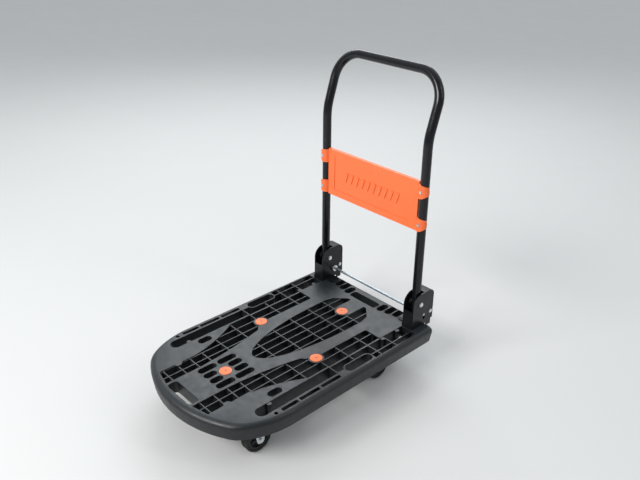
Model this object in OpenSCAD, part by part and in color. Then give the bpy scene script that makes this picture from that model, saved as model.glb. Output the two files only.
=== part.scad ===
// Folding platform cart: a moulded deck on four casters with a tube handle that
// folds forward over the deck, locked upright by a sprung foot bar.
// The floor is z = 0, the nose points to -y, the handle stands at the +y end and
// the origin lies under the middle of the footprint.

/* [Deck] */
// Width over the skirt
deck_width = 480; // [400:1:580]
// Length over the skirt, nose to rear
deck_length = 740; // [610:1:900]
// Height of the deck's top above the floor
deck_height = 140; // [136:1:170]
// Depth of the skirt below the top
skirt_depth = 45; // [36:1:54]
// Draft of the skirt, inward at its lower edge
skirt_draft = 4; // [1:0.5:6]
// Thickness of the top plate
top_plate = 4; // [3:0.5:6]
// Thickness of the skirt
skirt_wall = 3.5; // [2.5:0.5:5]
// Width of the rolled edge along the sides and the rear
side_roll = 12; // [8:1:16]
// Width of the rolled edge round the nose
nose_roll = 17; // [12:1:24]
// Height of the rolled edge
roll_drop = 15; // [10:1:20]
// Radius of the nose seen from above
nose_radius = 317; // [260:1:400]
// Radius of the corners of the nose
nose_corner = 95; // [70:1:120]
// Distance by which the nose falls short of a full half-round end
nose_cut = 41; // [30:1:60]
// Thickness of the ribs
rib = 3; // [2:0.5:5]
// Depth of the rib tops below the deck's top
rib_sink = 1.2; // [0.5:0.1:3]
// Depth of the ribs' lower edges below the deck's top
rib_depth = 36; // [30:1:40]
// Wall round the openings that go straight through
opening_wall = 3; // [2:0.5:4]

/* [Inserts] */
// Diameter of the round grip inserts
insert_d = 34; // [26:1:40]
// Width of the solid ring left round each insert
insert_ring = 5; // [4:0.5:8]
// Height of an insert above the deck
insert_proud = 1.2; // [0.6:0.1:3]
// Distance of the side inserts from the centre line
insert_x = 119; // [110:1:125]

/* [Handle] */
// Outside diameter of the handle tube
tube_d = 25.4; // [22:0.1:28]
// Wall of the handle tube
tube_wall = 1.8; // [1.2:0.1:3]
// Distance of a leg's centre line in from the side of the deck
leg_inset = 51.4; // [48:0.1:60]
// Distance of the legs in from the rear of the deck
leg_setback = 30.5; // [28:0.5:36]
// Height of the kink in the legs above the deck
kink_height = 560; // [480:1:640]
// Backward lean of the handle above the kink
lean = 17.7; // [5:0.1:25]
// Length of the leaning part, kink to the middle of the grip bar
lean_length = 169; // [140:1:220]
// Centre-line radius of the two upper corners
corner_bend = 80; // [60:1:100]
// Centre-line radius of the kink
kink_bend = 160; // [100:1:220]

/* [Handle plate] */
// Height of the coloured plate
plate_height = 144; // [120:1:172]
// Height of the plate's middle above the deck
plate_centre = 371; // [330:1:400]
// Thickness of the plate
plate_thick = 11; // [9:0.5:14]
// Wall of the plate's shell
plate_wall = 2.5; // [2:0.5:3.5]
// Width of the raised border
plate_border = 20; // [14:1:26]
// Depth of the field inside the border
field_depth = 1.6; // [1:0.1:2]
// Height of a clip
clip_height = 39; // [30:1:46]
// Distance of the clips above and below the plate's middle
clip_offset = 48; // [40:1:52]
// Thickness of a clip
clip_wall = 4.2; // [3:0.1:6]

/* [Brackets] */
// Thickness of the bracket sheet
sheet = 2.75; // [2:0.25:4]
// Width of a bracket over its cheeks
bracket_width = 37.5; // [36:0.5:44]
// Height of the handle's pivot above the deck
pivot_height = 73; // [66:1:80]
// Height of a bracket above the deck
bracket_height = 107; // [100:1:120]
// Distance of the bracket's back behind the pivot
bracket_back = 57; // [53.5:0.5:66]
// Diameter of the pivot bolts
pivot_d = 8; // [6:0.5:10]

/* [Lock] */
// Diameter of the foot bar
bar_d = 8; // [6:0.5:10]
// Distance of the foot bar behind the pivot
bar_behind = 18.5; // [17:0.5:22]
// Distance of the foot bar below the pivot
bar_below = 42; // [40:0.5:46]
// Travel of the foot bar when it is pressed
bar_travel = 11; // [8:1:12]
// Thickness of the lock plates
lock_thick = 6; // [4:0.5:8]
// Reach of the lock plates from the pivot
lock_reach = 49; // [47:0.5:51]

/* [Casters] */
// Diameter of the wheels
wheel_d = 80; // [70:1:82]
// Width of the tyres
tyre_width = 28; // [22:1:32]
// Thickness of the tyres
tyre_thick = 9; // [6:1:12]
// Distance of the casters in from the side of the deck
caster_inset = 82; // [78:1:90]
// Distance of the front axles behind the nose
front_axle = 145; // [140:1:175]
// Distance of the rear swivel pins in from the rear of the deck
rear_pin = 123; // [118:1:140]
// Distance of a swivelling wheel's axle from its swivel pin
trail = 32; // [26:1:36]
// Diameter of the axles
axle_d = 8; // [6:0.5:10]
// Thickness of the fork sheet
fork_sheet = 2.5; // [2:0.25:3.5]

/* [Fits] */
// Radial clearance of a turning fit
run_fit = 0.06; // [0.02:0.01:0.1]
// Gap between parts that move past each other
gap = 0.5; // [0.4:0.1:1]

/* [Hidden] */
$fn = 64;
eps = 0.01;

half_w = deck_width / 2;
tube_r = tube_d / 2;
leg_x = half_w - leg_inset;
leg_drop = 22;
lean_over = lean_length * sin(lean);
overhang = max(lean_over + tube_r, bracket_back) - leg_setback;
rear_y = (deck_length - overhang) / 2;
nose_y = rear_y - deck_length;
leg_y = rear_y - leg_setback;
pivot_z = deck_height + pivot_height;
bar_y = leg_y + bar_behind;
bar_z = pivot_z - bar_below;
bar_slot = bar_d + 2 * gap;
cheek_in = bracket_width / 2 - sheet;
rib_floor = deck_height - rib_depth;
rib_top = deck_height - rib_sink;
wheel_r = wheel_d / 2;
caster_x = half_w - caster_inset;
front_y = nose_y + front_axle;
pin_y = rear_y - rear_pin;

function from_rear(d) = rear_y - d;
function from_nose(d) = nose_y + d;
function from_side(d) = half_w - d;
function side_of(s) = s == "left" ? -1 : 1;
function taper(a, b, power, n) = [for (i = [0 : n])
    [b[0] + (a[0] - b[0]) * pow(1 - i / n, power), a[1] + (b[1] - a[1]) * i / n]];

module both_sides() {
    children();
    mirror([1, 0, 0]) children();
}

// A slot with round ends along y, on the line at x.
module slot2d(x, low, high, w) {
    translate([x - w / 2, low + w / 2]) square([w, high - low - w]);
    translate([x, low + w / 2]) circle(d = w);
    translate([x, high - w / 2]) circle(d = w);
}

module round_rect2d(x0, y0, x1, y1, r) {
    translate([x0 + r, y0]) square([x1 - x0 - 2 * r, y1 - y0]);
    translate([x0, y0 + r]) square([x1 - x0, y1 - y0 - 2 * r]);
    for (x = [x0 + r, x1 - r], y = [y0 + r, y1 - r]) translate([x, y]) circle(r);
}

module rect2d(x0, y0, x1, y1) {
    translate([x0, y0]) square([x1 - x0, y1 - y0]);
}

// ---- Deck ----

// Points of an arc, from angle a to angle b in n steps.
function arc(cx, cy, r, a, b, n) = [for (i = [0 : n])
    let (t = a + (b - a) * i / n) [cx + r * cos(t), cy + r * sin(t)]];

// Plan outline, grown sideways by s and round the nose by n from the flat top:
// square rear corners just rounded off, straight sides, a round taper, a small
// fillet and a shallow nose arc.
function deck_points(s, n) =
    let (corner = nose_corner, rear_corner = 14,
        c1 = nose_y + nose_roll + half_w - side_roll - nose_cut, r1 = half_w - side_roll + s,
        c2 = nose_y + nose_roll + nose_radius, r2 = nose_radius + n,
        y = (pow(r1 - corner, 2) - pow(r2 - corner, 2) + c2 * c2 - c1 * c1) / (2 * (c2 - c1)),
        x = sqrt(pow(r1 - corner, 2) - pow(y - c1, 2)),
        a1 = atan2(y - c1, x), a2 = atan2(y - c2, x),
        back = rear_y - side_roll + s - rear_corner,
        right = concat(arc(r1 - rear_corner, back, rear_corner, 90, 0, 4),
            arc(0, c1, r1, 0, a1, 12), arc(x, y, corner, a1, a2, 10), arc(0, c2, r2, a2, -90, 8)))
    concat(right, [for (i = [len(right) - 2 : -1 : 0]) [-right[i][0], right[i][1]]]);

// A solid through outlines of as many points each, from the lowest level to the highest.
module loft(rings, levels) {
    n = len(rings[0]);
    last = len(rings) - 1;
    points = [for (k = [0 : last]) for (p = rings[k]) [p[0], p[1], levels[k]]];
    walls = [for (k = [0 : last - 1], i = [0 : n - 1])
        [k * n + i, k * n + (i + 1) % n, (k + 1) * n + (i + 1) % n, (k + 1) * n + i]];
    ends = [[for (i = [n - 1 : -1 : 0]) i], [for (i = [0 : n - 1]) last * n + i]];
    polyhedron(points, concat(walls, ends), convexity = 4);
}

// The solid inside the skirt's surface moved in by w; the plate stays w_top thick.
module deck_form(w, w_top, low) {
    steps = 6;
    angles = [for (i = [steps : -1 : 0]) 90 * i / steps];
    loft(concat([deck_points(side_roll - skirt_draft - w, nose_roll - skirt_draft - w)],
        [for (a = angles) deck_points(side_roll * sin(a) - w, nose_roll * sin(a) - w)]),
        concat([low], [for (a = angles) deck_height - w_top - roll_drop * (1 - cos(a))]));
}

insert_places = [[0, from_rear(140)], [-insert_x, from_rear(354)],
    [insert_x, from_rear(354)], [0, from_nose(172)]];

// Openings that the ribs cross, on the +x side and the middle.
module central_opening() {
    half = 79;
    widest = 180;
    tip = deck_length - 265 - widest;
    side = concat([[38, 75], [72, 109], [half, 140]],
        [for (a = [0 : 6 : 90]) [half * cos(a), widest + tip * sin(a)]]);
    difference() {
        both_sides() polygon(concat([[-eps, from_rear(75)]],
            [for (p = side) [p[0], from_rear(p[1])]]));
        rect2d(-27, from_rear(140), 27, from_rear(70));
    }
}

module side_grid() {
    pocket_y = from_rear(283);
    difference() {
        union() {
            rect2d(from_side(68), from_rear(160), from_side(14), from_rear(68));
            round_rect2d(116, from_rear(334), from_side(14), from_rear(159), 5);
            rect2d(116, from_rear(360), from_side(35), from_rear(330));
            wing_opening();
        }
        slot2d(from_side(30), pocket_y - 51, pocket_y + 51, 34);
        rect2d(from_side(30), pocket_y - 51, from_side(12), pocket_y + 51);
        rect2d(from_side(68), from_rear(370), from_side(30), from_rear(355));
    }
}

module wing_opening() {
    inner = taper([92, from_rear(386)], [59, from_nose(115)], 1.8, 8);
    outer = taper([111, from_nose(135)], [from_side(72), from_rear(428)], 1, 1);
    bow = taper([from_side(72), from_rear(428)], [111, from_nose(135)], 1.7, 8);
    difference() {
        polygon(concat([[outer[1][0], from_rear(350)], [104, from_rear(350)],
            [104, from_rear(377)]], inner, [[59, from_nose(28)], [111, from_nose(40)]],
            [for (i = [8 : -1 : 0]) bow[i]]));
        translate([112, from_nose(97)]) circle(11);
    }
}

module ribbed_openings() {
    difference() {
        union() {
            central_opening();
            both_sides() side_grid();
        }
        for (p = insert_places) translate(p) circle(insert_d / 2 + insert_ring);
    }
}

// Openings that go straight through, grown by g.
module plain_openings(g = 0) {
    round_rect2d(-52 - g, from_nose(25) - g, 52 + g, from_nose(55) + g, 9 + g);
    round_rect2d(-52 - g, from_rear(58) - g, 52 + g, from_rear(28.5) + g, 8 + g);
    both_sides() {
        for (p = [[69, from_rear(58), from_rear(16), 22], [96, from_rear(53), from_rear(3), 22],
                [122, from_rear(47), from_rear(3), 22], [13.9, from_nose(192), from_nose(234), 21],
                [40.6, from_nose(176), from_nose(234), 21], [13.9, from_nose(114), from_nose(153), 21],
                [40.6, from_nose(114), from_nose(171), 21],
                [from_side(86.5), from_nose(191), from_nose(234), 23],
                [from_side(50.25), from_nose(125), from_rear(370), 33.5],
                [from_side(30), from_rear(331), from_rear(235), 28]])
            slot2d(p[0], p[1] - g, p[2] + g, p[3] + 2 * g);
        rect2d(from_side(67) - g, from_rear(385), from_side(33.5), from_rear(358) + g);
        for (y = [[381, 314], [308, 241], [235, 182]])
            round_rect2d(from_side(27.5), from_nose(y[1]), from_side(16.5), from_nose(y[0]), 3);
        translate([from_side(22.5), from_nose(164.5)]) circle(5.5);
    }
}

module deck_ribs() {
    across = [for (d = [65, 146, 207, 281, 355]) from_rear(d)];
    ahead = [for (d = [310, 236, 172, 133, 92, 50]) from_nose(d)];
    h = rib_top - rib_floor;
    for (y = concat(across, ahead))
        translate([-half_w, y - rib / 2, rib_floor]) cube([deck_width, rib, h]);
    for (x = [0, 27.3, 54.6, 82, 109.5, 138.5, from_side(33)], s = [-1, 1])
        if (s > 0 || x > 0)
            translate([s * x - rib / 2, nose_y, rib_floor]) cube([rib, deck_length, h]);
    both_sides() translate([from_side(72), nose_y, rib_floor]) cube([5, deck_length, h]);
    translate([0, 0, rib_floor]) linear_extrude(h) plain_openings(opening_wall);
}

function screw_places(y) = [for (x = [-19, 19], dy = [-30, 30]) [caster_x + x, y + dy]];

module deck() {
    boss_r = 6.5;
    color("#3f4347") difference() {
        union() {
            difference() {
                deck_form(0, 0, deck_height - skirt_depth);
                deck_form(skirt_wall, top_plate, deck_height - skirt_depth - 1);
                translate([0, 0, deck_height - top_plate - 1])
                    linear_extrude(top_plate + 2) ribbed_openings();
                translate([0, 0, deck_height - skirt_depth - 1])
                    linear_extrude(skirt_depth + 2) plain_openings();
            }
            intersection() {
                deck_form(skirt_wall / 2, top_plate / 2, rib_floor - 1);
                difference() {
                    deck_ribs();
                    translate([0, 0, rib_floor - 1])
                        linear_extrude(skirt_depth + 2) plain_openings();
                }
            }
            both_sides() for (p = concat(screw_places(front_y), screw_places(pin_y)))
                translate([p[0], p[1], rib_floor]) cylinder(r = boss_r, h = rib_top - rib_floor);
        }
        both_sides() for (p = concat(screw_places(front_y), screw_places(pin_y)))
            translate([p[0], p[1], rib_floor - 1]) cylinder(r = screw_r + 0.1, h = 23);
        both_sides() for (p = bracket_bolt_places())
            translate([p[0], p[1], deck_height - top_plate - 6]) cylinder(r = 3.1, h = top_plate + 8);
        for (p = insert_places) translate([p[0], p[1], deck_height - 2]) cylinder(d = insert_d + 0.4, h = 4);
    }
}

module grip_insert(p) {
    color("#fc7d50") translate([p[0], p[1], deck_height - 2]) difference() {
        rotate_extrude() {
            square([insert_d / 2 - 1, 2 + insert_proud]);
            square([insert_d / 2, 1 + insert_proud]);
            translate([insert_d / 2 - 1, 1 + insert_proud]) circle(1);
        }
        translate([0, 0, 1 + insert_proud]) cylinder(d = 5, h = 4);
    }
}

// ---- Brackets ----

cheek_front = 31;
front_flare = 3;
flare_top = 18;

function bracket_bolt_places() = [[leg_x, leg_y - 15], [leg_x - 34, leg_y]];

// Side view of a cheek: first coordinate behind the pivot, second above the deck.
module cheek2d() {
    back = bracket_back;
    front = cheek_front;
    nose_r = front + 3;
    polygon([[-front - front_flare, 0], [-front - front_flare, 3], [-front, flare_top],
        [-front, pivot_height],
        [nose_r - front, bracket_height], [back - 20, bracket_height],
        [back, bracket_height - 20], [back, 8], [back - 7, 8], [back - 7, -10],
        [leg_setback + gap, -10], [leg_setback + gap, 0]]);
    translate([nose_r - front, pivot_height]) circle(nose_r);
    translate([back - 20, bracket_height - 20]) circle(20);
}

// The back, the top and the low front wall, following the cheek's outline.
module web2d() {
    back = bracket_back;
    front = cheek_front;
    front_wall = pivot_height - tube_r - 5;
    cap = 17;
    translate([back - sheet, 8]) square([sheet, bracket_height - 28]);
    translate([cap, bracket_height - sheet]) square([back - 20 - cap, sheet]);
    translate([back - 20, bracket_height - 20]) intersection() {
        difference() {
            circle(20);
            circle(20 - sheet);
        }
        square(20);
    }
    translate([back - 7 - sheet, -10]) square([sheet, 18 + sheet]);
    translate([back - 7 - sheet, 8]) square([7 + sheet, sheet]);
    polygon([[-front - front_flare, 0], [-front - front_flare, 3], [-front, flare_top],
        [-front, front_wall], [sheet - front, front_wall], [sheet - front, flare_top],
        [sheet - front - front_flare, 3], [sheet - front - front_flare, 0]]);
}

// Stands a side view, drawn behind and above the deck at the pivot, across x.
module across_x(x, width) {
    translate([x - width / 2, leg_y, deck_height]) rotate([90, 0, 90])
        linear_extrude(width) children();
}

module bracket(s) {
    x = side_of(s) * leg_x;
    color("#1d1f21") difference() {
        union() {
            for (c = [-1, 1]) across_x(x + c * (bracket_width - sheet) / 2, sheet) cheek2d();
            across_x(x, bracket_width - 2 * sheet) web2d();
            across_x(x, bracket_width - 2 * sheet)
                translate([-cheek_front, 0]) square([cheek_front + leg_setback, sheet]);
            foot(s);
        }
        for (p = bracket_bolt_places())
            translate([side_of(s) * p[0], p[1], deck_height - 1]) cylinder(r = 3.1, h = 8);
        translate([x - 30, leg_y, pivot_z]) rotate([0, 90, 0]) cylinder(d = pivot_d + 0.1, h = 60);
        translate([x - 30, stop_y, stop_z]) rotate([0, 90, 0]) cylinder(d = 6.1, h = 60);
        across_x(x, 60) slot2d(bar_behind, bar_slot_low - bar_slot / 2,
            bar_z - deck_height + bar_slot / 2, bar_slot);
    }
}

bar_slot_low = bar_z - deck_height - bar_travel;
stop_y = leg_y + 44.5;
stop_z = deck_height + 35;

// Flange that spreads the load on the deck towards the middle of the cart.
module foot(s) {
    inner = leg_x - bracket_width / 2;
    mirror([side_of(s) < 0 ? 1 : 0, 0, 0]) translate([0, 0, deck_height]) linear_extrude(sheet)
        round_rect2d(inner - 32, leg_y - 17, inner + sheet, leg_y + 17, 8);
}

module bracket_bolts(s) {
    color("#c9ccd0") for (p = bracket_bolt_places())
        translate([side_of(s) * p[0], p[1], 0]) {
            translate([0, 0, deck_height - top_plate - 5]) cylinder(r = 3, h = top_plate + 5 + sheet);
            translate([0, 0, deck_height + sheet]) cylinder(r = 5.5, h = 3.5);
            translate([0, 0, deck_height - top_plate - 5]) cylinder(d = 11.5, h = 5, $fn = 6);
        }
}

// A bolt or rivet across a bracket with a round head on each side.
module cross_rivet(x, y, z, d, head_d, head_h) {
    color("#c9ccd0") translate([x, y, z]) rotate([0, 90, 0]) {
        cylinder(d = d, h = bracket_width, center = true);
        for (c = [0, 180]) rotate([c, 0, 0]) translate([0, 0, bracket_width / 2]) {
            cylinder(d = head_d, h = head_h / 2);
            translate([0, 0, head_h / 2]) cylinder(d = head_d - 3, h = head_h / 2);
        }
    }
}

module pivot_bolt(s) {
    cross_rivet(side_of(s) * leg_x, leg_y, pivot_z, pivot_d, 14, 4);
}

module stop_rivet(s) {
    cross_rivet(side_of(s) * leg_x, stop_y, stop_z, 6, 12, 3.6);
}

sleeve_d = pivot_d + 4;

module ring_x(x, y, z, outer, inner, width) {
    translate([x, y, z]) rotate([0, 90, 0]) difference() {
        cylinder(d = outer, h = width, center = true);
        cylinder(d = inner, h = width + 2, center = true);
    }
}

module pivot_sleeve(s) {
    color("#8d9196") ring_x(side_of(s) * leg_x, leg_y, pivot_z, sleeve_d, pivot_d + 0.1, 2 * cheek_in);
}

module pivot_washers(s) {
    space = cheek_in - tube_r - 2 * 0.3;
    color("#d8d8d0") for (c = [-1, 1])
        ring_x(side_of(s) * leg_x + c * (cheek_in - 0.3 - space / 2), leg_y, pivot_z,
            sleeve_d + 9, sleeve_d + 0.1, space);
}

// ---- Foot bar and lock ----

bar_half = leg_x + bracket_width / 2 - 0.5;

module lock_bar() {
    color("#c9ccd0") translate([-bar_half, bar_y, bar_z]) rotate([0, 90, 0])
        cylinder(d = bar_d, h = 2 * bar_half);
}

module bar_collar(s) {
    width = 7;
    inner = leg_x - bracket_width / 2;
    color("#c9ccd0") ring_x(side_of(s) * (inner - gap - width / 2), bar_y, bar_z, 20, bar_d + 0.04, width);
}

// Compression spring that stands on the bracket's floor under the foot bar.
spring_wire = 1.4;
spring_turns = 5.5;
spring_r = 5;

module bar_spring(s) {
    low = deck_height + sheet + spring_wire / 2 + 0.05;
    high = bar_z - bar_d / 2 - spring_wire / 2 - 0.05;
    sides = 6;
    per_turn = 18;
    n = ceil(spring_turns * per_turn);
    points = [for (i = [0 : n], k = [0 : sides - 1])
        let (a = 360 * i / per_turn, b = 360 * k / sides, r = spring_r + spring_wire / 2 * cos(b))
        [r * cos(a), r * sin(a), low + (high - low) * i / n + spring_wire / 2 * sin(b)]];
    walls = [for (i = [0 : n - 1], k = [0 : sides - 1])
        let (k2 = (k + 1) % sides)
        [i * sides + k, (i + 1) * sides + k, (i + 1) * sides + k2, i * sides + k2]];
    ends = [[for (k = [0 : sides - 1]) k], [for (k = [sides - 1 : -1 : 0]) n * sides + k]];
    color("#b9bcc0") translate([side_of(s) * leg_x, bar_y, 0])
        polyhedron(points, concat(walls, ends), convexity = 10);
}

// Plate in the slotted foot of a leg; its shoulder rests behind the foot bar.
module lock2d() {
    bar_angle = atan2(-bar_below, bar_behind);
    bar_reach = norm([bar_below, bar_behind]);
    clear_r = bar_reach - bar_d / 2 - gap;
    lead = asin((bar_d / 2 + gap) / bar_reach);
    shoulder = bar_angle + lead;
    top_clear = bracket_height - pivot_height - sheet - gap;
    intersection() {
        circle(lock_reach);
        union() {
            polygon([[0, 0], for (a = [shoulder, shoulder + 26]) 2 * lock_reach * [cos(a), sin(a)]]);
            circle(clear_r);
        }
        polygon([[-tube_r, 16], [-tube_r, -26], [-4, -clear_r - 4],
            [top_clear, -lock_reach - 5], [top_clear, -14], [tube_r, 16]]);
    }
}

module lock_plate(s) {
    color("#2a2c2e") difference() {
        translate([0, 0, pivot_height]) across_x(side_of(s) * leg_x, lock_thick) lock2d();
        translate([side_of(s) * leg_x - 20, leg_y, pivot_z]) rotate([0, 90, 0])
            cylinder(r = sleeve_d / 2 + run_fit, h = 40);
    }
}

// ---- Handle ----

module tube2d() {
    difference() {
        circle(tube_r);
        circle(tube_r - tube_wall);
    }
}

// A bend that starts upward at the origin and turns towards +x.
module tube_bend(radius, angle) {
    translate([radius, 0, 0]) rotate([90, 0, 180]) rotate_extrude(angle = angle)
        translate([radius, 0]) tube2d();
}

module leg_shaft(length) {
    linear_extrude(length) tube2d();
}

kink_z = deck_height + kink_height;
kink_run = kink_bend * tan(lean / 2);
// The upper loop starts just clear of the kink, a sleeve inside joins the two.
loop_start = ceil(kink_run * 100 + 1) / 100;
sleeve_length = 30;

module lower_leg() {
    low = pivot_z - leg_drop;
    translate([leg_x, leg_y, low]) leg_shaft(kink_z - kink_run - low);
    translate([leg_x, leg_y, kink_z - kink_run]) rotate([0, 0, 90]) tube_bend(kink_bend, lean);
}

// The leaning loop, drawn upright with the kink at z = 0.
module upper_loop() {
    corner_z = lean_length - corner_bend;
    both_sides() {
        translate([leg_x, 0, loop_start]) leg_shaft(corner_z - loop_start);
        translate([leg_x, 0, corner_z]) mirror([1, 0, 0]) tube_bend(corner_bend, 90);
    }
    translate([corner_bend - leg_x, 0, lean_length]) rotate([0, 90, 0])
        leg_shaft(2 * (leg_x - corner_bend));
}

// Short sleeve pressed into the tube across the joint above the kink.
module joint_sleeve() {
    bite = 0.6;
    translate([leg_x, 0, kink_run - 3]) difference() {
        cylinder(r = tube_r - bite, h = sleeve_length);
        translate([0, 0, -1]) cylinder(r = tube_r - tube_wall - bite, h = sleeve_length + 2);
    }
}

module handle_tube() {
    color("#17181a") difference() {
        union() {
            both_sides() lower_leg();
            translate([0, leg_y, kink_z]) rotate([-lean, 0, 0]) {
                upper_loop();
                both_sides() joint_sleeve();
            }
        }
        for (x = [-leg_x, leg_x]) translate([x, leg_y, pivot_z]) {
            rotate([0, 90, 0]) cylinder(r = sleeve_d / 2 + run_fit, h = 40, center = true);
            translate([-lock_thick / 2, -tube_d, -leg_drop - 1])
                cube([lock_thick, 2 * tube_d, leg_drop + 17]);
        }
    }
}

// ---- Coloured plate on the handle ----

clip_r = tube_r + clip_wall;
panel_half = leg_x - tube_r - 2;

module clip(z) {
    turn = 1.2;
    pitch = 7.5;
    translate([leg_x, leg_y, z - clip_height / 2]) difference() {
        intersection() {
            difference() {
                cylinder(r = clip_r, h = clip_height);
                translate([0, 0, -1]) cylinder(r = tube_r + 0.1, h = clip_height + 2);
            }
            translate([0, 0, clip_height / 2]) rotate([90, 0, 0])
                linear_extrude(clip_r + 1) intersection() {
                    translate([-clip_r, -clip_height / 2]) square([2 * clip_r, clip_height]);
                    union() {
                        circle(r = clip_height / 2 - 1);
                        translate([-30, -clip_height / 2]) square([30, clip_height]);
                    }
                }
        }
        for (i = [-2 : 2]) if (i != 0)
            translate([0, 0, clip_height / 2 + i * pitch]) rotate_extrude()
                translate([clip_r, 0]) circle(turn, $fn = 24);
        translate([0, -clip_r + 1.2, clip_height / 2]) rotate([90, 0, 0]) cylinder(d = 11, h = 5);
        translate([0, -tube_r + 2, clip_height / 2]) rotate([90, 0, 0]) cylinder(d = 4.2, h = 12);
    }
}

module emboss_bar(x) {
    low = -15;
    bar_w = 11;
    slant = 10;
    rotate([90, 0, 0]) linear_extrude(field_depth + 0.6)
        polygon([[x, low], [x + bar_w, low], [x + bar_w + slant, -low], [x + slant, -low]]);
}

module handle_plate() {
    front = leg_y - plate_thick / 2 - 1;
    mid_z = deck_height + plate_centre;
    high = plate_height / 2;
    field_x = panel_half - 26;
    field_z = high - plate_border;
    color("#fc7d50") union() {
        translate([0, front, mid_z]) difference() {
            translate([-panel_half, 0, -high]) cube([2 * panel_half, plate_thick, plate_height]);
            translate([-panel_half + plate_wall, field_depth + plate_wall, -high + plate_wall])
                cube([2 * (panel_half - plate_wall), plate_thick, plate_height - 2 * plate_wall]);
            translate([-field_x, -1, -field_z]) cube([2 * field_x, field_depth + 1, 2 * field_z]);
        }
        translate([0, front + field_depth, mid_z]) for (i = [-5 : 4]) emboss_bar(i * 22 - 1);
        translate([0, front, mid_z]) for (z = [-clip_offset, 0, clip_offset])
            translate([-panel_half + 1, field_depth + 1, z - 1])
                cube([2 * panel_half - 2, plate_thick - field_depth - 2, 2]);
        for (x = [-108, -54, 0, 54, 108])
            translate([x - 1, front + field_depth + 1, mid_z - high + 1])
                cube([2, plate_thick - field_depth - 2, plate_height - 2]);
        both_sides() for (z = [-clip_offset, clip_offset]) {
            clip(mid_z + z);
            bridge(mid_z + z, front);
        }
    }
}

// Joins a clip to the edge of the plate.
module bridge(z, front) {
    difference() {
        translate([panel_half - 12, front, z - clip_height / 2 + 1])
            cube([leg_x - panel_half + 4, plate_thick, clip_height - 2]);
        translate([leg_x, leg_y, z - clip_height]) cylinder(r = tube_r + 0.1, h = 2 * clip_height);
    }
}

module plate_screws() {
    color("#c9ccd0") for (x = [-leg_x, leg_x], z = [-clip_offset, clip_offset])
        translate([x, leg_y, deck_height + plate_centre + z]) rotate([90, 0, 0]) difference() {
            union() {
                translate([0, 0, tube_r + 0.2]) cylinder(d = 4, h = clip_wall - 1.2);
                translate([0, 0, clip_r - 1.2]) cylinder(d = 8.4, h = 2.4);
            }
            translate([0, 0, clip_r + 0.4]) for (a = [0, 90]) rotate([0, 0, a])
                translate([-2.6, -0.5, 0]) cube([5.2, 1, 2]);
        }
}

// ---- Casters ----

screw_r = 3;
base_z = rib_floor;
hub_bore = axle_d / 2 + run_fit;
fork_in = tyre_width / 2 + 3;
fork_out = fork_in + fork_sheet;
swivel_top = base_z - fork_sheet - 9;

module base_plate2d() {
    round_rect2d(-31, -42, 31, 42, 8);
}

module caster_place(s, y) {
    translate([side_of(s) * caster_x, y, 0]) children();
}

module caster_screws(s, y) {
    color("#b4b8bc") for (p = screw_places(y)) translate([side_of(s) * p[0], p[1], 0]) {
        translate([0, 0, base_z - fork_sheet]) cylinder(r = screw_r, h = 20);
        translate([0, 0, base_z - fork_sheet - 4.2]) cylinder(d = 11.5, h = 4.2, $fn = 6);
    }
}

module screw_holes() {
    for (x = [-19, 19], y = [-30, 30])
        translate([x, y, base_z - fork_sheet - 1]) cylinder(r = screw_r + 0.1, h = fork_sheet + 2);
}

// Side view of a fork leg from its top edge down to the axle; y is ahead of the axle.
module leg2d(top, from_y, to_y) {
    polygon([[from_y, top], [to_y, top], [11, wheel_r - 2], [-11, wheel_r - 2]]);
    translate([0, wheel_r]) circle(12);
}

module fork_legs(y_axle, top, from_y, to_y) {
    for (c = [-1, 1]) difference() {
        translate([c * (fork_in + fork_sheet / 2) - fork_sheet / 2, y_axle, 0])
            rotate([90, 0, 90]) linear_extrude(fork_sheet) leg2d(top, from_y, to_y);
        translate([0, y_axle, wheel_r]) rotate([0, 90, 0])
            cylinder(d = axle_d + 0.1, h = 80, center = true);
    }
}

module front_fork(s) {
    color("#b4b8bc") caster_place(s, front_y) difference() {
        union() {
            translate([0, 0, base_z - fork_sheet]) linear_extrude(fork_sheet) base_plate2d();
            fork_legs(0, base_z - fork_sheet, -23, 23);
            for (c = [-1, 1]) translate([c * 27 - 4, -23, base_z - fork_sheet - 2])
                cube([8, 46, 2]);
        }
        screw_holes();
    }
}

module axle(s, y) {
    color("#d4d7da") caster_place(s, y) translate([0, 0, wheel_r]) rotate([0, 90, 0]) {
        cylinder(d = axle_d, h = 2 * fork_out, center = true);
        for (c = [0, 180]) rotate([c, 0, 0]) translate([0, 0, fork_out])
            cylinder(d = axle_d + 5, h = 5, $fn = 6);
        for (c = [0, 180]) rotate([c, 0, 0]) translate([0, 0, hub_half + 0.4])
            difference() {
                cylinder(d = axle_d + 8, h = fork_in - hub_half - 0.4);
                translate([0, 0, -1]) cylinder(d = axle_d - 1, h = 8);
            }
    }
}

hub_half = tyre_width / 2 + 1;
rim_r = wheel_r - tyre_thick;

module hub(s, y) {
    web = 3;
    wells = 6;
    color("#3a3d40") caster_place(s, y) translate([0, 0, wheel_r]) rotate([0, 90, 0]) difference() {
        union() {
            cylinder(r = rim_r, h = tyre_width - 5, center = true);
            cylinder(r = 11, h = 2 * hub_half, center = true);
        }
        for (c = [0, 180]) rotate([c, 0, 0]) translate([0, 0, web]) difference() {
            cylinder(r = rim_r - 4, h = tyre_width);
            cylinder(r = 11, h = tyre_width);
            for (k = [0 : wells - 1]) rotate([0, 0, k * 360 / wells])
                translate([10, -1.5, -1]) cube([rim_r, 3, 5]);
        }
        cylinder(r = hub_bore, h = 60, center = true);
    }
}

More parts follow.
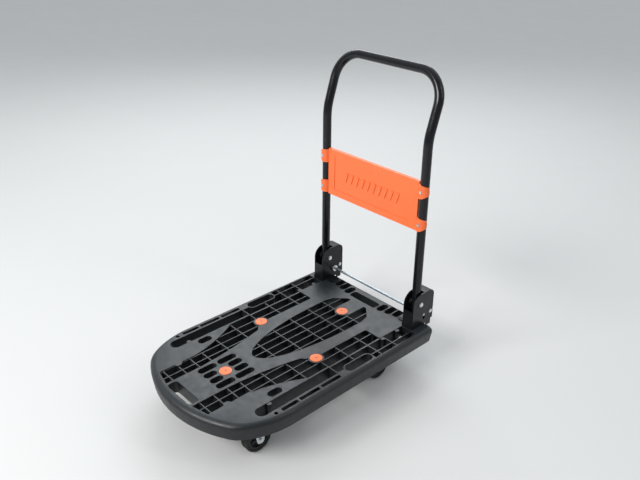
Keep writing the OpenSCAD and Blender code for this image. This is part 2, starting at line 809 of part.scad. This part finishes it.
module tyre(s, y) {
    half = tyre_width / 2;
    shoulder = 5;
    color("#141414") caster_place(s, y) translate([0, 0, wheel_r]) rotate([0, 90, 0])
        rotate_extrude() difference() {
            union() {
                translate([rim_r, -half + 2.5]) square([tyre_thick - shoulder, tyre_width - 5]);
                translate([rim_r + 1, -half]) square([tyre_thick - 1 - shoulder, tyre_width]);
                translate([rim_r + 1, -half + shoulder])
                    square([tyre_thick - 1, tyre_width - 2 * shoulder]);
                for (c = [-1, 1]) translate([wheel_r - shoulder, c * (half - shoulder)])
                    circle(shoulder);
            }
            translate([rim_r - 20, -half - 1]) square([20, tyre_width + 2]);
        }
}

race_r = 17;
ball_r = 2.5;

module swivel_plate(s) {
    cup_r = race_r + 8;
    color("#b4b8bc") caster_place(s, pin_y) difference() {
        union() {
            translate([0, 0, base_z - fork_sheet]) linear_extrude(fork_sheet) base_plate2d();
            translate([0, 0, base_z - fork_sheet - 5.5]) cylinder(r = cup_r, h = 5.5);
        }
        screw_holes();
        translate([0, 0, base_z - 30]) cylinder(d = 10.1, h = 40);
        translate([0, 0, base_z - fork_sheet - 5.5]) rotate_extrude()
            translate([race_r, 0]) circle(ball_r + 0.3);
        translate([0, 0, base_z - fork_sheet - 6]) cylinder(r = race_r - 6, h = 3);
    }
}

module swivel_pin(s) {
    color("#d4d7da") caster_place(s, pin_y) {
        translate([0, 0, swivel_top - fork_sheet - 3]) cylinder(d = 10, h = base_z - swivel_top + fork_sheet + 3);
        translate([0, 0, swivel_top - fork_sheet - 3.4 - gap]) cylinder(d = 17, h = 3.4);
    }
}

module swivel_balls(s) {
    count = 12;
    color("#e0e2e4") caster_place(s, pin_y) for (k = [0 : count - 1])
        rotate([0, 0, k * 360 / count])
            translate([race_r, 0, base_z - fork_sheet - 5.5]) sphere(ball_r);
}

module rear_fork(s) {
    dish_r = race_r + 8;
    color("#b4b8bc") caster_place(s, pin_y) difference() {
        union() {
            translate([0, 0, swivel_top - fork_sheet]) cylinder(r = dish_r, h = fork_sheet);
            translate([-fork_out, -trail - 8, swivel_top - fork_sheet])
                cube([2 * fork_out, trail + 8, fork_sheet]);
            fork_legs(-trail, swivel_top, -12, trail + 14);
            translate([0, 0, swivel_top]) cylinder(r = dish_r, h = 0.6);
        }
        translate([0, 0, swivel_top - 20]) cylinder(r = 5 + run_fit, h = 40);
    }
}

deck();
grip_insert(insert_places[0]);  // insert_rear
grip_insert(insert_places[1]);  // insert_left
grip_insert(insert_places[2]);  // insert_right
grip_insert(insert_places[3]);  // insert_front
handle_tube();
handle_plate();
plate_screws();
lock_bar();
for (s = ["left", "right"]) {
    bracket(s);
    bracket_bolts(s);
    pivot_bolt(s);
    pivot_sleeve(s);
    pivot_washers(s);
    stop_rivet(s);
    bar_collar(s);
    bar_spring(s);
    lock_plate(s);
    front_fork(s);
    axle(s, front_y);
    hub(s, front_y);
    tyre(s, front_y);
    caster_screws(s, front_y);
    swivel_plate(s);
    swivel_pin(s);
    swivel_balls(s);
    rear_fork(s);
    axle(s, pin_y - trail);
    hub(s, pin_y - trail);
    tyre(s, pin_y - trail);
    caster_screws(s, pin_y);
}
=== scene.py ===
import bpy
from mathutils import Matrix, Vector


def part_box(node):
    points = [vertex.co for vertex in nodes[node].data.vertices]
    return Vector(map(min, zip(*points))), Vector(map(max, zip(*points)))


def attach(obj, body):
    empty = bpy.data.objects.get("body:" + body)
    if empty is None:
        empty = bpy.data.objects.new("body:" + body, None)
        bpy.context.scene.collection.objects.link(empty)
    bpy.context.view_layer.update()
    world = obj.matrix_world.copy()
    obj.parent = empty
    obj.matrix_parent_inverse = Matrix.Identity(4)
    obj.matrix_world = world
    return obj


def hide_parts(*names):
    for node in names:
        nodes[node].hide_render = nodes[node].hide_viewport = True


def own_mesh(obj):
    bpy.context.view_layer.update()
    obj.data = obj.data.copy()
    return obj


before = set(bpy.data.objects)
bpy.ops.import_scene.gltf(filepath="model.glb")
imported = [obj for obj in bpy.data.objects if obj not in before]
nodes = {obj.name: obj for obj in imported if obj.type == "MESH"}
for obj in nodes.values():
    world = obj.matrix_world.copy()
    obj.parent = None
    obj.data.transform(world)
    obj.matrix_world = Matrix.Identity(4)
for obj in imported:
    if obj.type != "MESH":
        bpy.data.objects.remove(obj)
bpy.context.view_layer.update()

import math

import bmesh
import bpy
from mathutils import Matrix, Vector

MM = 0.001
SIDES = ("left", "right")


# ---- Camera, at the photograph's angle ----

CAMERA_PLACE = Vector((1.2702, -1.0612, 1.300))
CAMERA_AZIMUTH, CAMERA_ELEVATION, CAMERA_ROLL = map(math.radians, (47.05, 27.13, 0.38))
CAMERA_LENS = 39.99


def make_camera():
    data = bpy.data.cameras.new("camera")
    data.lens, data.sensor_width = CAMERA_LENS, 36.0
    data.clip_start, data.clip_end = 0.05, 100
    camera = bpy.data.objects.new("camera", data)
    bpy.context.scene.collection.objects.link(camera)
    sa, ca = math.sin(CAMERA_AZIMUTH), math.cos(CAMERA_AZIMUTH)
    se, ce = math.sin(CAMERA_ELEVATION), math.cos(CAMERA_ELEVATION)
    back = Vector((sa * ce, -ca * ce, se))
    level_right = Vector((ca, sa, 0))
    level_up = back.cross(level_right)
    right = level_right * math.cos(CAMERA_ROLL) + level_up * math.sin(CAMERA_ROLL)
    up = level_up * math.cos(CAMERA_ROLL) - level_right * math.sin(CAMERA_ROLL)
    turn = Matrix((right, up, back)).transposed().to_4x4()
    camera.matrix_world = Matrix.Translation(CAMERA_PLACE) @ turn
    bpy.context.scene.camera = camera


# ---- Materials ----

class Look:
    """Builds one node material, a step at a time, on a Principled shader."""

    def __init__(self, name):
        self.material = bpy.data.materials.new(name)
        self.material.use_nodes = True
        self.tree = self.material.node_tree
        self.shader = self.tree.nodes["Principled BSDF"]
        self.place = self.add("ShaderNodeTexCoord").outputs["Object"]
        self.bumps = None

    def add(self, kind, **settings):
        node = self.tree.nodes.new(kind)
        for key, value in settings.items():
            setattr(node, key, value)
        return node

    def link(self, output, target):
        self.tree.links.new(output, target)
        return output

    def stretched(self, scale):
        """The place, stretched by a scale along each axis."""
        mapping = self.add("ShaderNodeMapping")
        mapping.inputs["Scale"].default_value = scale
        self.link(self.place, mapping.inputs["Vector"])
        return mapping.outputs["Vector"]

    def noise(self, scale, detail=3.0, roughness=0.55, place=None, distortion=0.0):
        node = self.add("ShaderNodeTexNoise")
        node.inputs["Scale"].default_value = scale
        node.inputs["Detail"].default_value = detail
        node.inputs["Roughness"].default_value = roughness
        node.inputs["Distortion"].default_value = distortion
        self.link(place or self.place, node.inputs["Vector"])
        return node.outputs["Fac"]

    def cells(self, scale):
        node = self.add("ShaderNodeTexVoronoi", feature="F1")
        node.inputs["Scale"].default_value = scale
        self.link(self.place, node.inputs["Vector"])
        return node.outputs["Distance"]

    def span(self, value, low, high, to_low, to_high):
        node = self.add("ShaderNodeMapRange")
        self.link(value, node.inputs["Value"])
        for key, number in (("From Min", low), ("From Max", high),
                            ("To Min", to_low), ("To Max", to_high)):
            node.inputs[key].default_value = number
        return node.outputs["Result"]

    def mix(self, share, first, second):
        node = self.add("ShaderNodeMix", data_type="RGBA")
        self.link(share, node.inputs["Factor"])
        for socket, value in ((node.inputs["A"], first), (node.inputs["B"], second)):
            if isinstance(value, tuple):
                socket.default_value = (*value, 1.0)
            else:
                self.link(value, socket)
        return node.outputs["Result"]

    def upward(self):
        """0 on walls and undersides, 1 on faces that look up."""
        normal = self.add("ShaderNodeNewGeometry").outputs["Normal"]
        split = self.add("ShaderNodeSeparateXYZ")
        self.link(normal, split.inputs["Vector"])
        return self.span(split.outputs["Z"], 0.55, 0.95, 0.0, 1.0)

    def times(self, first, second):
        node = self.add("ShaderNodeMath", operation="MULTIPLY")
        self.link(first, node.inputs[0])
        self.link(second, node.inputs[1])
        return node.outputs["Value"]

    def set(self, **values):
        for key, value in values.items():
            socket = self.shader.inputs[key.replace("_", " ")]
            if isinstance(value, bpy.types.NodeSocket):
                self.link(value, socket)
            elif isinstance(value, tuple):
                socket.default_value = (*value, 1.0)
            else:
                socket.default_value = value

    def bump(self, height, strength, distance):
        node = self.add("ShaderNodeBump")
        node.inputs["Strength"].default_value = strength
        node.inputs["Distance"].default_value = distance
        self.link(height, node.inputs["Height"])
        if self.bumps is not None:
            self.link(self.bumps, node.inputs["Normal"])
        self.bumps = self.link(node.outputs["Normal"], self.shader.inputs["Normal"])


def moulded(name, colour, pale, rough, grain=0.25, speck=1500, dust=None, specular=0.5):
    """Moulded plastic: slight colour drift, fine etched grain, faint flow marks."""
    look = Look(name)
    drift = look.span(look.noise(9, 4), 0.35, 0.68, 0.0, 1.0)
    mottle = look.span(look.noise(140, 3), 0.3, 0.7, 0.0, 1.0)
    tint = look.mix(drift, colour, tuple(c * 0.86 for c in colour))
    tint = look.mix(look.times(drift, mottle), tint, pale)
    # Faces that look up are mixed toward the pale dust colour: partly dust, partly a painted sheen
    # standing in for the bright surround's reflection on the top.
    if dust is not None:
        patches = look.span(look.noise(60, 5, 0.6), 0.3, 0.75, 0.16, 0.34)
        dust_and_sheen_share = look.times(look.upward(), patches)
        tint = look.mix(dust_and_sheen_share, tint, dust)
    look.set(Base_Color=tint, Specular_IOR_Level=specular,
             Roughness=look.span(look.noise(55, 4), 0.3, 0.7, rough - 0.06, rough + 0.08))
    look.bump(look.noise(speck, 2, 0.5), grain, 0.0002)
    look.bump(look.noise(60, 2, 0.4), 0.12, 0.0003)
    return look.material


def painted(name, colour, rough, coat, peel=0.08, specular=0.5):
    """Powder coat or enamel: orange peel, hazed patches, small scuffs."""
    look = Look(name)
    haze = look.span(look.noise(18, 4), 0.35, 0.7, 0.0, 1.0)
    drawn = look.noise(70, 6, 0.7, look.stretched((1, 1, 0.18)))
    scuffs = look.span(drawn, 0.66, 0.76, 0.0, 0.5)
    tint = look.mix(haze, colour, tuple(c * 1.5 + 0.002 for c in colour))
    look.set(Base_Color=look.mix(scuffs, tint, (0.11, 0.112, 0.116)),
             Roughness=look.span(look.noise(32, 5), 0.3, 0.7, rough * 0.8, rough * 1.35),
             Coat_Weight=coat, Coat_Roughness=0.06, Specular_IOR_Level=specular)
    look.bump(look.noise(420, 2, 0.45), peel, 0.0002)
    return look.material


def plated(name, colour, rough, spangle=0.35, warm=(0.78, 0.74, 0.62), brushed=None):
    """Zinc plate: pale spangle, drawn lines along one way, a warm passivate tinge."""
    look = Look(name)
    crystals = look.span(look.cells(260), 0.1, 0.75, 0.0, spangle)
    tinge = look.span(look.noise(22, 4), 0.45, 0.75, 0.0, 0.35)
    tint = look.mix(crystals, colour, tuple(c * 0.72 for c in colour))
    lines = look.noise(60, 3, 0.5, look.stretched(brushed or (1, 9, 9)))
    look.set(Base_Color=look.mix(tinge, tint, warm), Metallic=1.0,
             Roughness=look.span(lines, 0.3, 0.7, rough * 0.75, rough * 1.4))
    look.bump(lines, 0.05, 0.00005)
    return look.material


def rubber(name, colour, worn):
    """Tyre: matt black with a scuffed, dusty tread."""
    look = Look(name)
    dust = look.span(look.noise(48, 6, 0.68), 0.42, 0.72, 0.0, 0.75)
    look.set(Base_Color=look.mix(dust, colour, worn), Specular_IOR_Level=0.35,
             Roughness=look.span(look.noise(90, 3), 0.3, 0.7, 0.68, 0.9))
    look.bump(look.noise(900, 3, 0.6), 0.35, 0.0003)
    return look.material


def concrete(name, colour):
    """Pale floor with a barely seen drift of colour."""
    look = Look(name)
    drift = look.span(look.noise(1.2, 5), 0.35, 0.7, 0.0, 1.0)
    look.set(Base_Color=look.mix(drift, colour, tuple(c * 0.985 for c in colour)),
             Roughness=look.span(look.noise(6, 4), 0.3, 0.7, 0.55, 0.7),
             Specular_IOR_Level=0.25)
    look.bump(look.noise(240, 3), 0.04, 0.0005)
    return look.material


MATERIALS = {
    # The deck's pale bluish dust colour is partly dust and partly a painted sheen on faces that
    # look up.
    "deck": moulded("deck_plastic", (0.0075, 0.0095, 0.011), (0.012, 0.015, 0.0175), 0.4,
                    grain=0.3, dust=(0.034, 0.046, 0.054), specular=0.46),
    "orange": moulded("orange_plastic", (0.98, 0.18, 0.045), (0.99, 0.21, 0.06), 0.42,
                      grain=0.18, speck=1800),
    "steel": painted("black_steel", (0.004, 0.0048, 0.006), 0.3, 0.1, 0.14, 0.26),
    "tube": painted("gloss_black_tube", (0.003, 0.0038, 0.0055), 0.22, 0.3, 0.04, 0.2),
    "zinc": plated("zinc_steel", (0.8, 0.83, 0.86), 0.32),
    "bright": plated("bright_steel", (0.44, 0.5, 0.54), 0.3, 0.12, (0.48, 0.5, 0.51)),
    "tyre": rubber("tyre_rubber", (0.016, 0.0165, 0.0175), (0.052, 0.051, 0.049)),
    "hub": moulded("hub_plastic", (0.02, 0.021, 0.023), (0.035, 0.037, 0.04), 0.42),
    "nylon": moulded("nylon", (0.03, 0.031, 0.034), (0.045, 0.047, 0.05), 0.38, grain=0.1),
    # Painted shade: the dark red of the disc that stands in for the shade inside each insert's
    # dimple.
    "dimple_shade": moulded("plug_plastic", (0.2, 0.03, 0.012), (0.24, 0.04, 0.02), 0.5, grain=0.15),
    "floor": concrete("floor", (0.64, 0.645, 0.64)),
}


def material_of(name):
    for part, key in (("deck", "deck"), ("insert", "orange"), ("handle_plate", "orange"),
                      ("handle_tube", "tube"), ("bracket", "steel"),
                      ("lock_plate", "steel"), ("tyre", "tyre"), ("hub", "hub"),
                      ("pivot_washers", "nylon"), ("pivot_sleeve", "bright"),
                      ("swivel_balls", "bright"), ("bar_spring", "bright"), ("lock_bar", "bright")):
        if part in name:
            return MATERIALS[key]
    return MATERIALS["zinc"]


BEVELS = {"deck": 0.45, "insert": 0.4, "handle_plate": 0.6, "bracket": 0.4, "hub": 0.4,
          "fork": 0.35, "plate": 0.35, "screws": 0.25, "bolt": 0.3, "rivet": 0.3, "axle": 0.3,
          "collar": 0.5, "lock_bar": 0.6}
SMOOTH_ANGLE = math.radians(32)
BEVEL_ANGLE = math.radians(38)
WELD_DISTANCE = 0.002 * MM


def smooth_by_angle(piece, angle=SMOOTH_ANGLE):
    """Smooth shading on a piece made here, with sharp edges over the angle."""
    for polygon in piece.data.polygons:
        polygon.use_smooth = True
    piece.data.set_sharp_from_angle(angle=angle)


def smoothing_group():
    """Geometry nodes that shade faces smooth and leave edges over the angle sharp."""
    tree = bpy.data.node_groups.new("smooth_by_angle", "GeometryNodeTree")
    for way in ("INPUT", "OUTPUT"):
        tree.interface.new_socket("Geometry", in_out=way, socket_type="NodeSocketGeometry")
    start, end = tree.nodes.new("NodeGroupInput"), tree.nodes.new("NodeGroupOutput")
    faces, edges = (tree.nodes.new("GeometryNodeSetShadeSmooth") for _ in range(2))
    faces.domain, edges.domain = "FACE", "EDGE"
    faces.inputs["Shade Smooth"].default_value = True
    edges.inputs["Shade Smooth"].default_value = False
    bend = tree.nodes.new("GeometryNodeInputMeshEdgeAngle")
    over = tree.nodes.new("FunctionNodeCompare")
    over.operation = "GREATER_THAN"
    over.inputs[1].default_value = SMOOTH_ANGLE
    tree.links.new(bend.outputs["Unsigned Angle"], over.inputs[0])
    tree.links.new(over.outputs["Result"], edges.inputs["Selection"])
    tree.links.new(start.outputs[0], faces.inputs["Geometry"])
    tree.links.new(faces.outputs[0], edges.inputs["Geometry"])
    tree.links.new(edges.outputs[0], end.inputs[0])
    return tree


def dress_nodes():
    """Looks for the CAD's own meshes: a weld, shading by angle and small bevels."""
    smoothing = smoothing_group()
    for name, piece in nodes.items():
        piece.data.materials.clear()
        piece.data.materials.append(material_of(name))
        if piece.data.has_custom_normals:
            bpy.context.view_layer.objects.active = piece
            with bpy.context.temp_override(object=piece, active_object=piece):
                bpy.ops.mesh.customdata_custom_splitnormals_clear()
        weld = piece.modifiers.new("weld", "WELD")
        weld.merge_threshold = WELD_DISTANCE
        piece.modifiers.new("smooth", "NODES").node_group = smoothing
        width = next((w for part, w in BEVELS.items() if part in name), None)
        if width is not None:
            bevel = piece.modifiers.new("bevel", "BEVEL")
            bevel.width, bevel.segments = width * MM, 2
            bevel.limit_method, bevel.angle_limit = "ANGLE", BEVEL_ANGLE
            bevel.use_clamp_overlap, bevel.harden_normals = True, True


# ---- Pieces ----

def new_piece(name, mesh, body, material):
    piece = bpy.data.objects.new(name, mesh)
    bpy.context.scene.collection.objects.link(piece)
    mesh.materials.append(MATERIALS[material])
    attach(piece, body)
    return piece


def sweep(name, points, radius, sides=14):
    """A closed tube through the points, as a mesh."""
    mesh = bpy.data.meshes.new(name)
    grid = bmesh.new()
    rings, up = [], Vector((0, 0, 1))
    for i, point in enumerate(points):
        along = (points[min(i + 1, len(points) - 1)] - points[max(i - 1, 0)]).normalized()
        across = along.cross(up).normalized()
        other = across.cross(along)
        rings.append([grid.verts.new(point + radius * (math.cos(a) * across + math.sin(a) * other))
                      for a in (2 * math.pi * k / sides for k in range(sides))])
    for low, high in zip(rings, rings[1:]):
        for k in range(sides):
            grid.faces.new((low[k], low[(k + 1) % sides], high[(k + 1) % sides], high[k]))
    grid.faces.new(rings[0][::-1])
    grid.faces.new(rings[-1])
    bmesh.ops.recalc_face_normals(grid, faces=grid.faces)
    grid.to_mesh(mesh)
    grid.free()
    return mesh


def springs():
    """Smooth coils with closed ends, in place of the plain helices under the foot bar."""
    turns, per_turn, wire = 6.5, 40, 0.7 * MM
    flat_end, climb = 0.09, 0.82
    end_rise, end_room = 1.6, 3.6
    for side in SIDES:
        node = "bar_spring_" + side
        low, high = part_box(node)
        centre = (low + high) / 2
        radius = (high.x - low.x) / 2 - wire
        points, steps = [], int(turns * per_turn)
        for i in range(steps + 1):
            t = i / steps
            rise = min(max((t - flat_end) / climb, 0.0), 1.0)
            angle = 2 * math.pi * turns * t
            height = wire * (1 + end_rise * t) + (high.z - low.z - wire * end_room) * rise
            points.append(Vector((centre.x + radius * math.cos(angle),
                                  centre.y + radius * math.sin(angle), low.z + height)))
        piece = new_piece("coil_" + side, sweep("coil_" + side, points, wire), "root",
                          "bright")
        smooth_by_angle(piece, math.radians(60))
        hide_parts(node)
        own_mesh(piece)


def lathe(name, profile, centre, segments=96):
    """A ring round the x axis from (along, radius) points of a closed profile."""
    mesh = bpy.data.meshes.new(name)
    grid = bmesh.new()
    rings = []
    for i in range(segments):
        angle = 2 * math.pi * i / segments
        ring = []
        for along, r in profile:
            spot = Vector((along, r * math.cos(angle), r * math.sin(angle)))
            ring.append(grid.verts.new(centre + spot))
        rings.append(ring)
    count = len(profile)
    for i in range(segments):
        ring, following = rings[i], rings[(i + 1) % segments]
        for k in range(count):
            after = (k + 1) % count
            grid.faces.new((ring[k], ring[after], following[after], following[k]))
    bmesh.ops.recalc_face_normals(grid, faces=grid.faces)
    grid.to_mesh(mesh)
    grid.free()
    return mesh


# Both in millimetres: in from the wall, and down from the tread or up from the bore.
BEAD_LINE = ((0.0, 6.0), (0.35, 6.3), (0.35, 6.7), (0.0, 7.0))
TYRE_EDGE = ((0.3, 1.2), (2.5, 0.6), (2.5, 0.0))


def tyres():
    """Tyres with a rounded shoulder, a bead line on the wall and shallow tread grooves."""
    for end in ("front", "rear"):
        for side in SIDES:
            node = f"{end}_tyre_{side}"
            low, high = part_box(node)
            hub_low, hub_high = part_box(f"{end}_hub_{side}")
            centre = (low + high) / 2
            outer, half = (high.z - low.z) / 2, (high.x - low.x) / 2
            inner = (hub_high.z - hub_low.z) / 2 + 0.02 * MM
            corner, groove_w, groove_d = 5 * MM, 0.7 * MM, 0.9 * MM
            floor_w, pitch = groove_w * 0.8, 5.2 * MM
            top = []
            for along in (-pitch, 0.0, pitch):
                top += [(along - groove_w, outer), (along - floor_w, outer - groove_d),
                        (along + floor_w, outer - groove_d), (along + groove_w, outer)]
            bend = [math.radians(d) for d in range(0, 91, 10)]
            shoulder = [(half - corner * (1 - math.sin(a)), outer - corner * (1 - math.cos(a)))
                        for a in bend]
            wall = [(half - inset * MM, outer - depth * MM) for inset, depth in BEAD_LINE]
            wall += [(half - inset * MM, inner + rise * MM) for inset, rise in TYRE_EDGE]
            right = shoulder + wall
            profile = top + right + [(-a, r) for a, r in reversed(right)]
            mesh = lathe("grooved_" + node, profile, centre)
            piece = new_piece("grooved_" + node, mesh, f"{end}_wheel_{side}",
                              "tyre")
            smooth_by_angle(piece, math.radians(35))
            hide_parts(node)


def dimple_shade_discs():
    """A dark disc at the bottom of the dimple in each grip insert: painted shade for the hollow."""
    radius, taper, depth, below = 2.3 * MM, 0.2 * MM, 0.5 * MM, 0.8 * MM
    for place in ("rear", "left", "right", "front"):
        low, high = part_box("insert_" + place)
        name = "plug_" + place
        mesh = bpy.data.meshes.new(name)
        grid = bmesh.new()
        bmesh.ops.create_cone(grid, cap_ends=True, segments=40, radius1=radius,
                              radius2=radius - taper, depth=depth)
        grid.to_mesh(mesh)
        grid.free()
        middle = (low + high) / 2
        mesh.transform(Matrix.Translation((middle.x, middle.y, high.z - below)))
        piece = new_piece(name, mesh, "root", "dimple_shade")
        smooth_by_angle(piece)


# ---- Stage and light ----

def make_floor():
    mesh = bpy.data.meshes.new("floor")
    grid = bmesh.new()
    bmesh.ops.create_grid(grid, x_segments=4, y_segments=4, size=30)
    grid.to_mesh(mesh)
    grid.free()
    floor = bpy.data.objects.new("floor", mesh)
    bpy.context.scene.collection.objects.link(floor)
    mesh.materials.append(MATERIALS["floor"])


def area_light(name, place, size, power, colour):
    data = bpy.data.lights.new(name, "AREA")
    data.shape, data.size, data.size_y = "RECTANGLE", size[0], size[1]
    data.energy, data.color = power, colour
    lamp = bpy.data.objects.new(name, data)
    bpy.context.scene.collection.objects.link(lamp)
    lamp.location = place
    aim = Vector(LAMP_TARGET) - Vector(place)
    lamp.rotation_euler = aim.to_track_quat("-Z", "Y").to_euler()


BRIGHT_SIDE = Vector((-0.66, 0.61, 0.44))
SURROUND = (("From Min", -0.35), ("From Max", 0.75), ("To Min", 0.32), ("To Max", 0.86))
LAMP_TARGET = (0, 0, 0.35)
# Name, place, size, power and colour.
LAMPS = (
    ("key", (-0.3, -2.9, 2.4), (2.2, 1.0), 112, (1.0, 0.99, 0.975)),
    ("fill", (2.6, 1.2, 2.4), (0.22, 2.0), 12, (1.0, 1.0, 1.0)),
    ("rear", (-1.9, 1.8, 2.3), (2.6, 1.0), 40, (0.95, 0.975, 1.0)),
)


def make_light():
    """A soft surround, bright beyond the cart and above it and dim behind the camera."""
    world = bpy.data.worlds.new("studio")
    bpy.context.scene.world = world
    world.use_nodes = True
    tree = world.node_tree
    place = tree.nodes.new("ShaderNodeTexCoord")
    facing = tree.nodes.new("ShaderNodeVectorMath")
    facing.operation = "DOT_PRODUCT"
    facing.inputs[1].default_value = BRIGHT_SIDE
    tree.links.new(place.outputs["Generated"], facing.inputs[0])
    ramp = tree.nodes.new("ShaderNodeMapRange")
    ramp.interpolation_type = "SMOOTHSTEP"
    for key, number in SURROUND:
        ramp.inputs[key].default_value = number
    tree.links.new(facing.outputs["Value"], ramp.inputs["Value"])
    background = tree.nodes["Background"]
    background.inputs["Color"].default_value = (0.93, 0.965, 1.0, 1.0)
    tree.links.new(ramp.outputs["Result"], background.inputs["Strength"])
    for name, place, size, power, colour in LAMPS:
        area_light(name, place, size, power, colour)
    view = bpy.context.scene.view_settings
    view.view_transform, view.look, view.exposure = "Standard", "None", 0.0


make_camera()
make_light()
make_floor()
dress_nodes()
springs()
tyres()
dimple_shade_discs()
